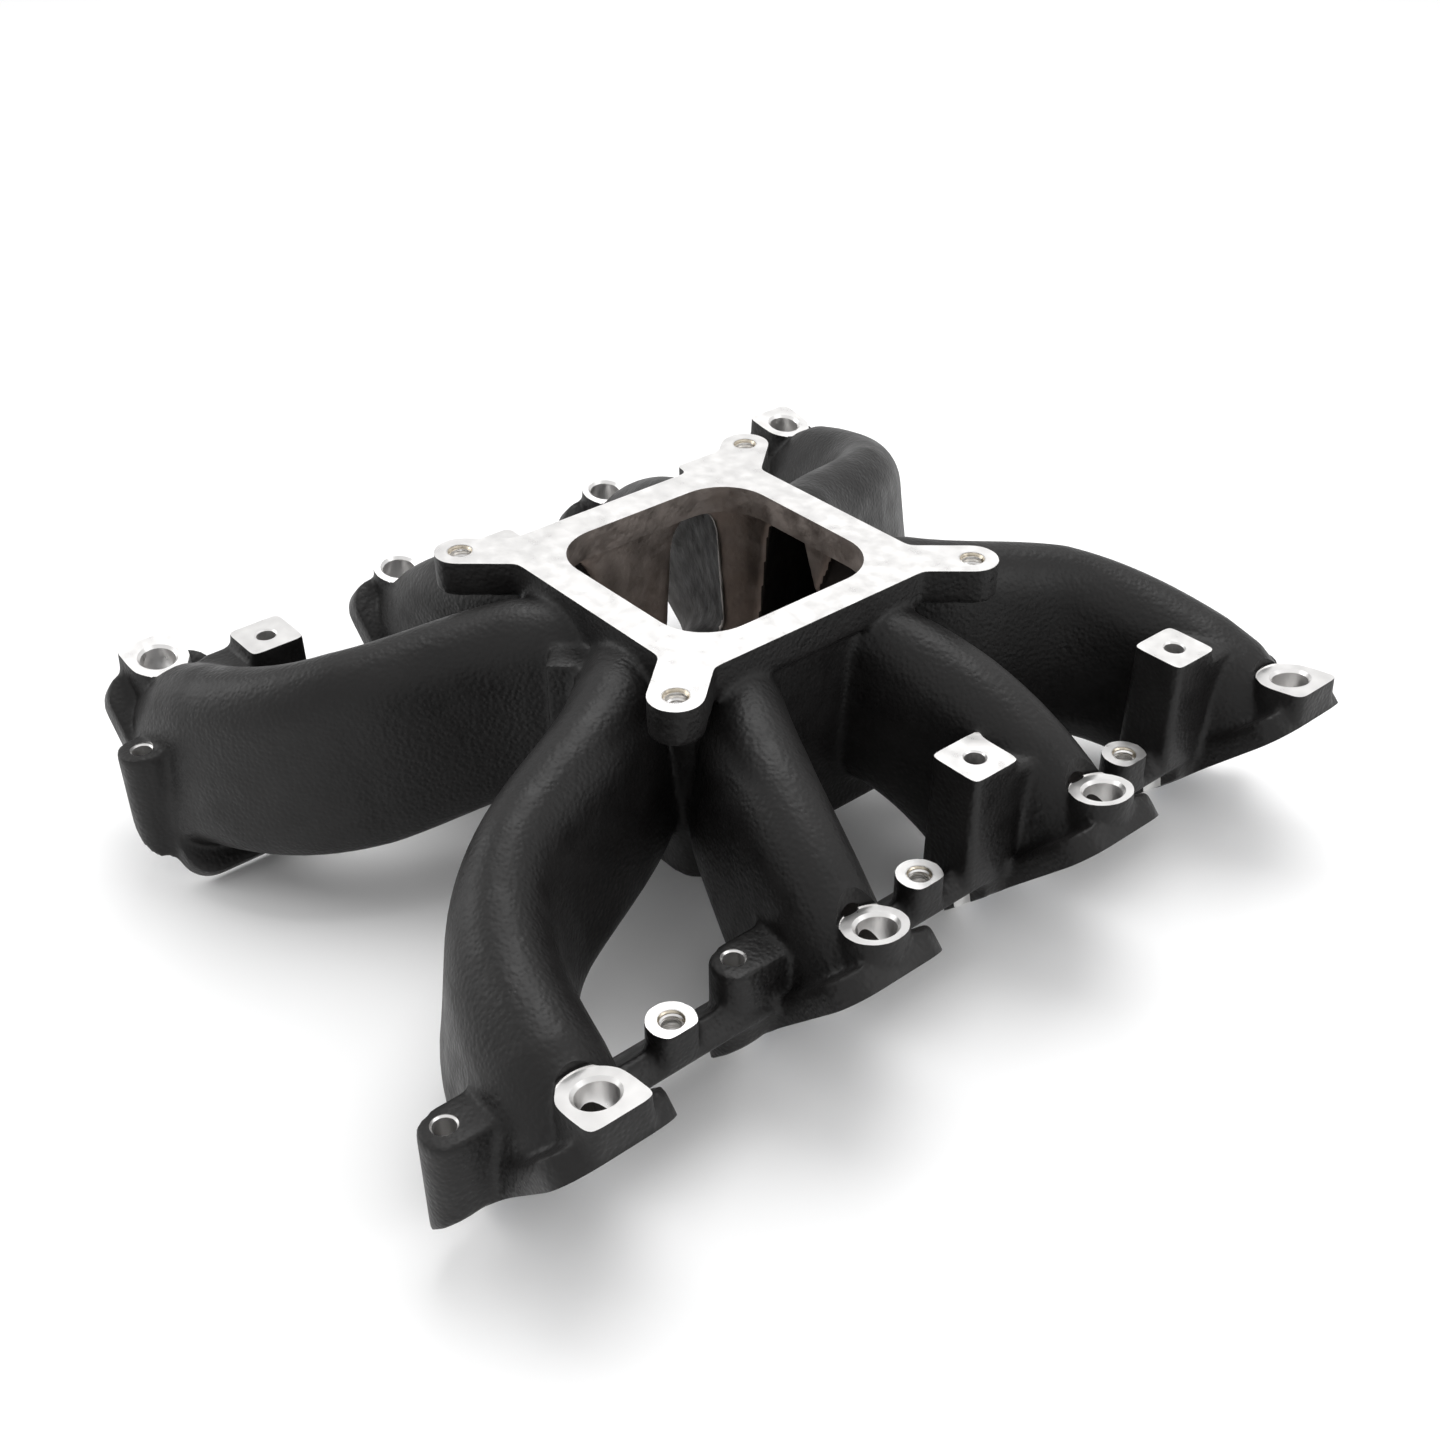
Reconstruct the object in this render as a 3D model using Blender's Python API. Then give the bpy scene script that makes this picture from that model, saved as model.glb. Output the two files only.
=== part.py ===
"""Single plane intake manifold for a V8 engine, with a square four stud carburettor flange.

The origin is under the middle of the carburettor opening, on the plane that the two head flanges
stand on. +Z is up and +Y runs along the crankshaft. The right bank is on the +X side. The left
bank is the right bank turned half a turn about +Z.
"""

import math

import bmesh
import bpy
from mathutils import Matrix, Vector

# Overall sizes, in metres
MANIFOLD_HEIGHT = 0.1260
FACE_FOOT_X = 0.103
PORT_PITCH = 0.11176
BANK_STAGGER = 0.00346
CLEARANCE = 0.0003

# Carburettor flange
STUD_HALF_X = 0.06555
STUD_HALF_Y = 0.07135
FLANGE_HALF = 0.0603
FLANGE_THICKNESS = 0.0145
TAB_RADIUS = 0.0095
TAB_ANGLE = math.radians(48.7)
OPENING_HALF = 0.046
OPENING_CORNER = 0.021
STUD_LINER_RADIUS = 0.0047
STUD_THREAD_RADIUS = 0.0035
STUD_LINER_LENGTH = 0.0125

# Plenum
PLENUM_HALF_X = 0.058
PLENUM_HALF_Y = 0.0575
PROW_HALF_X = 0.0262
PLENUM_DEPTH = 0.0822
PLENUM_WALL = 0.005

# Ports and runners
PORT_HALF_WIDTH = 0.0132
PORT_HALF_HEIGHT = 0.039
RUNNER_WALL = 0.0045
SIDE_LEAN = 0.1
MOUTH_HALF_WIDTH = 0.0118
TAPER_SHARE = 0.7
SHORT_MOUTH_Y = 0.030
SHORT_MOUTH_HANDLE = 0.018
SHORT_PORT_HANDLE = 0.036
LONG_MOUTH_HANDLE = 0.070
LONG_PORT_HANDLE = 0.083
PORT_STRAIGHT = 0.009
MOUTH_STRAIGHT = 0.003
PASSAGE_OVERRUN = 0.012

# Head flanges, in the plane of the face: thickness is measured square to the face
LOBE_HALF_HEIGHT = 0.0445
LOBE_HALF_WIDTH = 0.023
LOBE_CORNER = 0.012
LOBE_THICKNESS = 0.0095
WEB_RELIEF = 0.006
WEB_THICKNESS = 0.011
WEB_LOW = -0.034
WEB_HIGH = 0.004
RUNNER_SEAT_DEPTH = 0.0002

# Injector bosses
INJECTOR_X = 0.1515
INJECTOR_FACE_Z = 0.0505
INJECTOR_TILT = math.radians(9.0)
INJECTOR_BORE_RADIUS = 0.0069
INJECTOR_BOSS_RADIUS = 0.0114
INJECTOR_PAD_REACH = 0.0131
INJECTOR_BORE_DEPTH = 0.022

# Intake bolt bosses: distances from the ports, and depths of their tops below the carb face
BOLT_X = 0.1194
BOLT_HOLE_RADIUS = 0.0038
BOLT_BOSS_RADIUS = 0.0105
LOW_BOLT_TOP = 0.0674
HIGH_BOLT_TOP = 0.0384
BOLT_TO_PORT = 0.0329
PORT_TO_FAR_EAR = 0.0250
EAR_RADIUS = 0.0090
EAR_X = 0.1212
EAR_LENGTH = 0.018

# Fuel rail bosses
RAIL_BOSS_X = 0.1251
RAIL_BOSS_TOP = 0.0714
RAIL_BOSS_RADIUS = 0.0083
PORT_TO_RAIL_BOSS = 0.0480
RAIL_LINER_RADIUS = 0.0046
RAIL_THREAD_RADIUS = 0.0033
RAIL_LINER_LENGTH = 0.015
RAIL_HOLE_EXTRA = 0.002

# Port seals
SEAL_LAND = 0.0016
SEAL_GROOVE_WIDTH = 0.0030
SEAL_GROOVE_DEPTH = 0.0022

ROUND_STEPS = 16
DIAGONAL = math.sqrt(0.5)

PORT_RISE = LOBE_HALF_HEIGHT * DIAGONAL
PORT_X = FACE_FOOT_X + PORT_RISE
CARB_FACE_Z = MANIFOLD_HEIGHT
PLENUM_TOP = CARB_FACE_Z - FLANGE_THICKNESS - CLEARANCE
PLENUM_FLOOR = PLENUM_TOP - PLENUM_DEPTH
MOUTH_Z = (PLENUM_TOP + PLENUM_FLOOR) / 2
MOUTH_HALF_HEIGHT = PLENUM_DEPTH / 2 - RUNNER_WALL
PROW_TIP_Y = PLENUM_HALF_Y + PROW_HALF_X
PORT_YS = [(step - 1.5) * PORT_PITCH - BANK_STAGGER for step in range(4)]
NEAR_EAR_Y, LOW_BOLT_Y, *HIGH_BOLT_YS = [y - BOLT_TO_PORT for y in PORT_YS]
FAR_EAR_Y = PORT_YS[3] + PORT_TO_FAR_EAR
RAIL_BOSS_YS = [y + PORT_TO_RAIL_BOSS for y in PORT_YS[:3]]
STUD_PLACES = [(x * STUD_HALF_X, y * STUD_HALF_Y) for x, y in ((1, 1), (-1, 1), (-1, -1), (1, -1))]
HALF_TURN = Matrix.Rotation(math.pi, 4, "Z")


def material(name, colour, roughness, metallic):
    """A plain Principled finish."""
    result = bpy.data.materials.new(name)
    result.use_nodes = True
    shader = result.node_tree.nodes["Principled BSDF"]
    shader.inputs["Base Color"].default_value = (*colour, 1.0)
    shader.inputs["Roughness"].default_value = roughness
    shader.inputs["Metallic"].default_value = metallic
    return result


def new_object(name, points, faces):
    """An object from points and faces, with its faces turned outward."""
    mesh = bpy.data.meshes.new(name)
    mesh.from_pydata([tuple(point) for point in points], [], faces)
    shape = bmesh.new()
    shape.from_mesh(mesh)
    bmesh.ops.recalc_face_normals(shape, faces=shape.faces)
    shape.to_mesh(mesh)
    shape.free()
    result = bpy.data.objects.new(name, mesh)
    bpy.context.scene.collection.objects.link(result)
    return result


def combine(target, other, operation, solver):
    """Joins or cuts the target with another solid, and removes the other one."""
    modifier = target.modifiers.new(operation, "BOOLEAN")
    modifier.operation = operation
    modifier.solver = solver
    modifier.object = other
    depsgraph = bpy.context.evaluated_depsgraph_get()
    mesh = bpy.data.meshes.new_from_object(target.evaluated_get(depsgraph))
    target.modifiers.clear()
    target.data = mesh
    bpy.data.objects.remove(other)


def join(target, other):
    combine(target, other, "UNION", "EXACT")


def cut(target, other, solver="EXACT"):
    combine(target, other, "DIFFERENCE", solver)


def copy_of(source, name):
    """A second object with a mesh of its own."""
    result = bpy.data.objects.new(name, source.data.copy())
    bpy.context.scene.collection.objects.link(result)
    return result


def finish(target, finish_material):
    """Gives a finished piece its material and smooth shading with sharp edges kept."""
    target.data.materials.clear()
    target.data.materials.append(finish_material)
    target.data.shade_smooth()
    target.data.set_sharp_from_angle(angle=math.radians(35))


def loft(name, rings):
    """A closed solid through rings that have the same number of points.

    Each side panel is two triangles, always split the same way, so that a wall and the room cut for
    it stay parallel.
    """
    count = len(rings[0])
    points = [point for ring in rings for point in ring]
    faces = [tuple(range(count))]
    faces.append(tuple(range(len(points) - 1, len(points) - count - 1, -1)))
    for start in range(0, len(points) - count, count):
        for index in range(count):
            low, low_beside = start + index, start + (index + 1) % count
            faces.append((low, low_beside, low_beside + count))
            faces.append((low, low_beside + count, low + count))
    return new_object(name, points, faces)


def ring_solid(name, outer_low, outer_high, inner_low, inner_high):
    """A closed ring between an outer and an inner outline, each given at its low and high end."""
    count = len(outer_low)
    loops = (outer_low, outer_high, inner_high, inner_low)
    points = [point for loop in loops for point in loop]
    faces = []
    for row in range(4):
        this_row = row * count
        next_row = (row + 1) % 4 * count
        for index in range(count):
            beside = (index + 1) % count
            faces.append((this_row + index, this_row + beside, next_row + beside, next_row + index))
    return new_object(name, points, faces)


def arc(centre_x, centre_y, radius, start, end, steps):
    """Points of an arc, both ends included."""
    angles = [start + (end - start) * step / steps for step in range(steps + 1)]
    return [(centre_x + radius * math.cos(a), centre_y + radius * math.sin(a)) for a in angles]


def circle(centre_x, centre_y, radius):
    return arc(centre_x, centre_y, radius, 0.0, math.tau, ROUND_STEPS)[:-1]


def rounded_box(half_x, half_y, corner, steps=5):
    """A rectangle with round corners, counter-clockwise."""
    points = []
    for turn, (side_x, side_y) in enumerate(((1, 1), (-1, 1), (-1, -1), (1, -1))):
        centre_x = side_x * (half_x - corner)
        centre_y = side_y * (half_y - corner)
        start = turn * math.pi / 2
        points += arc(centre_x, centre_y, corner, start, start + math.pi / 2, steps)
    return points


def prism(name, outline, low, high):
    """An upright solid over an outline in plan. low may be a height or a function of x."""
    bottom = low if callable(low) else lambda x: low
    return loft(name, [[(x, y, bottom(x)) for x, y in outline], [(x, y, high) for x, y in outline]])


# The head face rises outward at 45 degrees. A place on it has a distance along the bank (Y), a
# distance up the slope from the port centres, and a depth into the flange, square to the face.


def on_face(along, slope, depth):
    x = PORT_X + (slope - depth) * DIAGONAL
    z = PORT_RISE + (slope + depth) * DIAGONAL
    return (x, along, z)


def face_prism(name, outline, shallow, deep):
    """A solid over an outline drawn in the head face, between two depths."""
    rings = [[on_face(a, s, depth) for a, s in outline] for depth in (shallow, deep)]
    return loft(name, rings)


def slanted_foot(depth):
    """Height of the plane at this depth behind the head face, as a function of x."""
    return lambda x: x - FACE_FOOT_X + depth / DIAGONAL


def port_outline(half_width, half_height):
    """The tall port: a round roof, sides that lean outward to the floor, and round floor corners."""
    roof = half_width
    floor = half_width * 0.6
    points = arc(half_width - roof, half_height - roof, roof, 0.0, math.pi / 2, 3)
    points += arc(roof - half_width, half_height - roof, roof, math.pi / 2, math.pi, 3)[1:]
    points += arc(floor - half_width, floor - half_height, floor, math.pi, math.pi * 1.5, 2)
    points += arc(half_width - floor, floor - half_height, floor, math.pi * 1.5, math.tau, 2)
    return [(across * (1 - SIDE_LEAN * up / half_height), up) for across, up in points]


class Runner:
    """The centre line of one right bank runner, from its port to its mouth in the plenum wall."""

    def __init__(self, number):
        self.number = number
        self.port_y = PORT_YS[number - 1]
        side = math.copysign(1.0, self.port_y)
        self.is_long = number in (1, 4)
        port = Vector((PORT_X - PORT_STRAIGHT, self.port_y))
        if self.is_long:
            self.leave = Vector((DIAGONAL, side * DIAGONAL))
            mouth = Vector((PROW_HALF_X / 2, side * (PLENUM_HALF_Y + PROW_HALF_X / 2)))
            handles = (LONG_PORT_HANDLE, LONG_MOUTH_HANDLE)
        else:
            self.leave = Vector((1.0, 0.0))
            mouth = Vector((PLENUM_HALF_X, side * SHORT_MOUTH_Y))
            handles = (SHORT_PORT_HANDLE, SHORT_MOUTH_HANDLE)
        mouth += self.leave * MOUTH_STRAIGHT
        self.corners = (port, port - Vector((handles[0], 0.0)), mouth + self.leave * handles[1], mouth)
        self.plan = [self.plan_point(step / 200) for step in range(201)]
        self.lengths = [PORT_STRAIGHT]
        for before, after in zip(self.plan, self.plan[1:]):
            self.lengths.append(self.lengths[-1] + (after - before).length)
        self.curve_end = self.lengths[-1]
        self.length = self.curve_end + MOUTH_STRAIGHT
        steps = 8 if self.is_long else 6
        run = self.curve_end - PORT_STRAIGHT
        self.stations = [PORT_STRAIGHT + run * step / steps for step in range(steps + 1)]
        self.middle = self.stations[steps // 2]

    def plan_point(self, t):
        first, second, third, last = self.corners
        near = first * (1 - t) ** 3 + second * (3 * t * (1 - t) ** 2)
        return near + third * (3 * t * t * (1 - t)) + last * t**3

    def place(self, distance):
        """The point this far from the port in plan, also past either end."""
        if distance <= PORT_STRAIGHT:
            return Vector((PORT_X - distance, self.port_y, PORT_RISE + distance))
        if distance >= self.curve_end:
            past = self.plan[-1] - self.leave * (distance - self.curve_end)
            return Vector((past.x, past.y, MOUTH_Z))
        index = next(i for i, total in enumerate(self.lengths) if total > distance)
        part = (distance - self.lengths[index - 1]) / (self.lengths[index] - self.lengths[index - 1])
        flat = self.plan[index - 1].lerp(self.plan[index], part)
        foot = PORT_RISE + PORT_STRAIGHT
        rise = MOUTH_Z - foot
        run = self.curve_end - PORT_STRAIGHT
        part_left = (self.curve_end - distance) / run
        height = foot + rise * (1 - part_left ** (run / rise))
        return Vector((flat.x, flat.y, height))

    def ring(self, distance, grown):
        """The runner's outline at this distance, grown evenly from the passage."""
        centre = self.place(distance)
        step = 0.0005
        tangent = (self.place(distance + step) - self.place(distance - step)).normalized()
        up = (Vector((0, 0, 1)) - tangent * tangent.z).normalized()
        across = tangent.cross(up)
        part = min(max(distance / (self.length * TAPER_SHARE), 0.0), 1.0)
        half_width = PORT_HALF_WIDTH + (MOUTH_HALF_WIDTH - PORT_HALF_WIDTH) * part + grown
        half_height = PORT_HALF_HEIGHT + (MOUTH_HALF_HEIGHT - PORT_HALF_HEIGHT) * part + grown
        outline = port_outline(half_width, half_height)
        return [centre + across * a + up * u for a, u in outline]

    def solid(self, name, grown, start, end):
        """The runner as a solid bar between two distances from the port."""
        between = [station for station in self.stations if start + 0.0001 < station < end - 0.0001]
        return loft(name, [self.ring(station, grown) for station in (start, *between, end)])

    def passage(self):
        return self.solid("passage", 0.0, -PASSAGE_OVERRUN, self.length + PASSAGE_OVERRUN)


def injector_frame(port_y):
    """Origin at the middle of the injector face, with z square to the face."""
    tilt = Matrix.Rotation(-INJECTOR_TILT, 4, "Y")
    return Matrix.Translation((INJECTOR_X, port_y, CARB_FACE_Z - INJECTOR_FACE_Z)) @ tilt


def injector_bore(port_y):
    bore = prism("bore", circle(0, 0, INJECTOR_BORE_RADIUS), -INJECTOR_BORE_DEPTH, 0.01)
    bore.data.transform(injector_frame(port_y))
    return bore


def injector_boss(port_y, squared):
    """A round boss, squared off on its outer side on the end runners."""
    radius = INJECTOR_BOSS_RADIUS
    outline = arc(0, 0, radius, math.pi / 2, math.pi * 1.5, 8)
    if squared:
        outline += [(INJECTOR_PAD_REACH, -radius), (INJECTOR_PAD_REACH, radius)]
    else:
        outline += arc(0, 0, radius, -math.pi / 2, math.pi / 2, 8)[1:-1]
    boss = prism("boss", outline, -0.03, 0.0)
    boss.data.transform(injector_frame(port_y))
    return boss


def half_space_below_flange_back():
    """Everything on the engine side of the runners' flange ends."""
    reach = 0.3
    outline = [(-reach, -reach), (reach, -reach), (reach, reach), (-reach, reach)]
    return face_prism("half_space", outline, -0.08, LOBE_THICKNESS + CLEARANCE)


def make_runner(runner):
    """A hollow tube with its injector boss, cut square to the head face at its flange end."""
    tube = runner.solid(f"runner_r{runner.number}", RUNNER_WALL, 0.004, runner.length - CLEARANCE)
    join(tube, injector_boss(runner.port_y, runner.is_long))
    cut(tube, runner.passage())
    cut(tube, half_space_below_flange_back())
    cut(tube, injector_bore(runner.port_y))
    return tube


def boss(x, y, radius, top, foot_depth):
    """A round boss with its foot on a plane behind the head face."""
    return prism("boss", circle(x, y, radius), slanted_foot(foot_depth), top)


def ear(y, inward):
    """A bolt ear: a tongue from the flange with a round end about the bolt."""
    start = 0.0 if inward > 0 else math.pi
    outline = arc(EAR_X, y, EAR_RADIUS, start + math.pi, start + math.tau, 8)
    outline += [(EAR_X + EAR_RADIUS * inward, y + EAR_LENGTH * inward)]
    outline += [(EAR_X - EAR_RADIUS * inward, y + EAR_LENGTH * inward)]
    return prism("ear", outline, slanted_foot(0.0002), CARB_FACE_Z - LOW_BOLT_TOP)


def make_head_flange(runners):
    """The strip that bolts to one head: four port lobes, a relieved web and all its bosses."""
    web_end = PORT_YS[0] - LOBE_HALF_WIDTH / 2
    far_end = PORT_YS[3] + LOBE_HALF_WIDTH / 2
    corners = [(web_end, WEB_LOW), (far_end, WEB_LOW), (far_end, WEB_HIGH), (web_end, WEB_HIGH)]
    flange = face_prism("head_flange_right", corners, WEB_RELIEF, WEB_RELIEF + WEB_THICKNESS)
    lobe = rounded_box(LOBE_HALF_WIDTH, LOBE_HALF_HEIGHT, LOBE_CORNER, 4)
    for runner in runners:
        outline = [(runner.port_y + along, slope) for along, slope in lobe]
        join(flange, face_prism("lobe", outline, 0.0, LOBE_THICKNESS))
    high = CARB_FACE_Z - HIGH_BOLT_TOP
    low = CARB_FACE_Z - LOW_BOLT_TOP
    for y in HIGH_BOLT_YS:
        join(flange, boss(BOLT_X, y, BOLT_BOSS_RADIUS, high, 0.0002))
    join(flange, boss(BOLT_X, LOW_BOLT_Y, BOLT_BOSS_RADIUS, low, 0.0002))
    join(flange, ear(NEAR_EAR_Y, 1))
    join(flange, ear(FAR_EAR_Y, -1))
    for y in RAIL_BOSS_YS:
        join(flange, boss(RAIL_BOSS_X, y, RAIL_BOSS_RADIUS, CARB_FACE_Z - RAIL_BOSS_TOP, 0.009))
    seat = (LOBE_THICKNESS - RUNNER_SEAT_DEPTH) * DIAGONAL
    for runner in runners:
        cut(flange, runner.solid("room", RUNNER_WALL + CLEARANCE, seat, runner.middle))
    for runner in runners:
        cut(flange, runner.passage())
        cut(flange, injector_bore(runner.port_y))
        cut(flange, seal_ring("groove", runner.port_y, 0.0, -0.001))
    for y in (*HIGH_BOLT_YS, LOW_BOLT_Y, NEAR_EAR_Y, FAR_EAR_Y):
        cut(flange, prism("hole", circle(BOLT_X, y, BOLT_HOLE_RADIUS), -0.01, CARB_FACE_Z))
    for y in RAIL_BOSS_YS:
        cut(flange, rail_hole(y))
    return flange


def rail_hole(y):
    top = CARB_FACE_Z - RAIL_BOSS_TOP
    depth = RAIL_LINER_LENGTH + RAIL_HOLE_EXTRA
    outline = circle(RAIL_BOSS_X, y, RAIL_LINER_RADIUS + CLEARANCE)
    return prism("hole", outline, top - depth, top + 0.01)


def seal_ring(name, port_y, inset, shallow):
    """The ring round a port. inset makes it smaller than its groove on every side."""
    outer_growth = LOBE_HALF_HEIGHT - PORT_HALF_HEIGHT - SEAL_LAND - inset
    inner_growth = outer_growth + 2 * inset - SEAL_GROOVE_WIDTH
    loops = []
    for growth in (outer_growth, inner_growth):
        outline = port_outline(PORT_HALF_WIDTH + growth, PORT_HALF_HEIGHT + growth)
        for depth in (shallow, SEAL_GROOVE_DEPTH - inset):
            loops.append([on_face(port_y + across, up, depth) for across, up in outline])
    return ring_solid(name, loops[0], loops[1], loops[2], loops[3])


def liner(name, x, y, top, radius, thread_radius, length):
    """A threaded liner, as a plain tube flush with the face it is set in."""
    low, high = top - length, top
    loops = []
    for size in (radius, thread_radius):
        for z in (low, high):
            loops.append([(px, py, z) for px, py in circle(x, y, size)])
    return ring_solid(name, loops[0], loops[1], loops[2], loops[3])


def make_carb_flange():
    """The square top flange with a stud tab at each corner."""
    outline = []
    for turn, (x, y) in enumerate(STUD_PLACES):
        side_x = math.copysign(1.0, x)
        side_y = math.copysign(1.0, y)
        lean = math.atan2(side_y * math.sin(TAB_ANGLE), side_x * math.cos(TAB_ANGLE))
        direction = (math.cos(lean), math.sin(lean))
        tab = arc(x, y, TAB_RADIUS, lean - math.pi / 2, lean + math.pi / 2, 8)
        first = root_of_tab(tab[0], direction, "x" if turn % 2 == 0 else "y")
        last = root_of_tab(tab[-1], direction, "y" if turn % 2 == 0 else "x")
        outline += [first, *tab, last]
    low = CARB_FACE_Z - FLANGE_THICKNESS
    flange = prism("carb_flange", outline, low, CARB_FACE_Z)
    opening = rounded_box(OPENING_HALF, OPENING_HALF, OPENING_CORNER)
    cut(flange, prism("opening", opening, low - 0.01, CARB_FACE_Z + 0.01))
    for x, y in STUD_PLACES:
        hole = circle(x, y, STUD_LINER_RADIUS + CLEARANCE)
        cut(flange, prism("hole", hole, low - 0.01, CARB_FACE_Z + 0.01))
    return flange


def root_of_tab(point, direction, axis):
    """Where a tab's side line comes back to the square flange's side."""
    index = 0 if axis == "x" else 1
    side = math.copysign(FLANGE_HALF, point[index])
    back = (point[index] - side) / direction[index]
    return (point[0] - direction[0] * back, point[1] - direction[1] * back)


def plenum_outline(inset):
    """The plenum in plan: straight sides, and a two-sided prow at each end for the long runners."""
    half_x = PLENUM_HALF_X - inset
    half_y = PLENUM_HALF_Y - inset
    prow = PROW_HALF_X - inset * (math.sqrt(2) - 1)
    tip = PROW_TIP_Y - inset * math.sqrt(2)
    upper = [(half_x, half_y), (prow, half_y), (0.0, tip), (-prow, half_y), (-half_x, half_y)]
    return upper + [(-x, -y) for x, y in upper]


def make_plenum(runners):
    """The open chamber under the flange, with the mouths of all eight runners in its sides."""
    plenum = prism("plenum", plenum_outline(0.0), PLENUM_FLOOR, PLENUM_TOP)
    cavity = plenum_outline(PLENUM_WALL)
    cut(plenum, prism("cavity", cavity, PLENUM_FLOOR + PLENUM_WALL, PLENUM_TOP - PLENUM_WALL))
    opening = rounded_box(OPENING_HALF, OPENING_HALF, OPENING_CORNER)
    cut(plenum, prism("opening", opening, MOUTH_Z, PLENUM_TOP + 0.01))
    for runner in runners:
        for turn in (Matrix.Identity(4), HALF_TURN):
            mouth = runner.solid("mouth", 0.0, runner.length - 0.01, runner.length + PASSAGE_OVERRUN)
            mouth.data.transform(turn)
            cut(plenum, mouth, "MANIFOLD")
    return plenum


def turned_copy(source, name):
    """The left bank's piece, which is the right bank's turned half a turn."""
    result = copy_of(source, name)
    result.data.transform(HALF_TURN)
    return result


def build():
    for old in list(bpy.data.objects):
        bpy.data.objects.remove(old)
    coated = material("black_coated_casting", (0.018, 0.017, 0.017), 0.55, 0.0)
    machined = material("machined_flange", (0.80, 0.79, 0.79), 0.30, 1.0)
    liner_metal = material("thread_liner", (0.46, 0.37, 0.26), 0.35, 1.0)
    seal_rubber = material("port_seal", (0.03, 0.10, 0.22), 0.7, 0.0)

    runners = [Runner(number) for number in (1, 2, 3, 4)]
    finish(make_carb_flange(), machined)
    finish(make_plenum(runners), coated)

    for runner in runners:
        tube = make_runner(runner)
        twin = turned_copy(tube, f"runner_l{5 - runner.number}")
        finish(tube, coated)
        finish(twin, coated)

    flange = make_head_flange(runners)
    twin = turned_copy(flange, "head_flange_left")
    finish(flange, coated)
    finish(twin, coated)

    for runner in runners:
        seal = seal_ring(f"port_seal_r{runner.number}", runner.port_y, CLEARANCE, CLEARANCE / 3)
        twin = turned_copy(seal, f"port_seal_l{5 - runner.number}")
        finish(seal, seal_rubber)
        finish(twin, seal_rubber)

    for number, (x, y) in enumerate(STUD_PLACES, 1):
        sizes = (CARB_FACE_Z, STUD_LINER_RADIUS, STUD_THREAD_RADIUS, STUD_LINER_LENGTH)
        finish(liner(f"stud_liner_{number}", x, y, *sizes), liner_metal)

    for number, y in enumerate(RAIL_BOSS_YS, 1):
        top = CARB_FACE_Z - RAIL_BOSS_TOP
        sizes = (top, RAIL_LINER_RADIUS, RAIL_THREAD_RADIUS, RAIL_LINER_LENGTH)
        rail = liner(f"rail_liner_r{number}", RAIL_BOSS_X, y, *sizes)
        twin = turned_copy(rail, f"rail_liner_l{4 - number}")
        finish(rail, liner_metal)
        finish(twin, liner_metal)


build()
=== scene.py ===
"""Single plane intake manifold: a black coated casting with machined faces and threaded liners."""

import math

import bmesh
import bpy
from mathutils import Matrix, Vector


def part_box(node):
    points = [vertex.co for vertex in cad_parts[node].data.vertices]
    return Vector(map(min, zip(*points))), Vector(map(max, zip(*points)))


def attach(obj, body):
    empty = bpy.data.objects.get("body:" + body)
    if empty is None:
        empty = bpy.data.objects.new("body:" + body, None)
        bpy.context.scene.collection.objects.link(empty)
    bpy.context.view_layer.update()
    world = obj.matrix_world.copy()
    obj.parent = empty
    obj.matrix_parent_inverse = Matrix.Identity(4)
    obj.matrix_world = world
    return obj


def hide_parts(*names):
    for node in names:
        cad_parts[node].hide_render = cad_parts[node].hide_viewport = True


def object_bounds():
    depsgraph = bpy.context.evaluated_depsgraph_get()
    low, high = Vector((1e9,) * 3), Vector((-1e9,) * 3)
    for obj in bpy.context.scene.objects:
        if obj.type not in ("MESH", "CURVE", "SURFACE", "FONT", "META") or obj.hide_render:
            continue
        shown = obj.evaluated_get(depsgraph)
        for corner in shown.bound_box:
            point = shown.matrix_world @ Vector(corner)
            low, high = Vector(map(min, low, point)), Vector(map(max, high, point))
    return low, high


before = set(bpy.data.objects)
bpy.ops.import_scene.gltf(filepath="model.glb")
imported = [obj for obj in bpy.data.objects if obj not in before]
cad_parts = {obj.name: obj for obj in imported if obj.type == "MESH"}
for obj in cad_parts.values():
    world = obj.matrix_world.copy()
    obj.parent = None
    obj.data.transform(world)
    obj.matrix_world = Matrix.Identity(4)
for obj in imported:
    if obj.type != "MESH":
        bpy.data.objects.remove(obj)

bl_info = {
    "name": "Intake manifold",
    "version": (1, 0, 0),
    "blender": (4, 5, 0),
    "location": "3D View > Sidebar > Manifold",
    "description": "Builds the casting, its threaded liners, its port seals and a plain stage",
    "category": "Object",
}

BODY = "root"
CAD_LOW, CAD_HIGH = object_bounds()
DIAGONAL = math.sqrt(0.5)
HALF_TURN = Matrix.Rotation(math.pi, 4, "Z")

# Places read from the frame
FLANGE_LOW, FLANGE_HIGH = (Vector(corner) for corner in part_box("carb_flange"))
PLENUM_LOW, PLENUM_HIGH = (Vector(corner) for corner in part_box("plenum"))
CARB_FACE_Z = FLANGE_HIGH.z
PLENUM_FLOOR = PLENUM_LOW.z


def middle_of(node):
    low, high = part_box(node)
    return (Vector(low) + Vector(high)) / 2


PORT_CENTRES = [middle_of(f"port_seal_r{number}") for number in (1, 2, 3, 4)]
FACE_FOOT_X = PORT_CENTRES[0].x - PORT_CENTRES[0].z
STUD_PLACES = [middle_of(f"stud_liner_{number}") for number in (1, 2, 3, 4)]
RAIL_PLACES = [middle_of(f"rail_liner_r{number}") for number in (1, 2, 3)]
RAIL_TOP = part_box("rail_liner_r1")[1][2]

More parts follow.
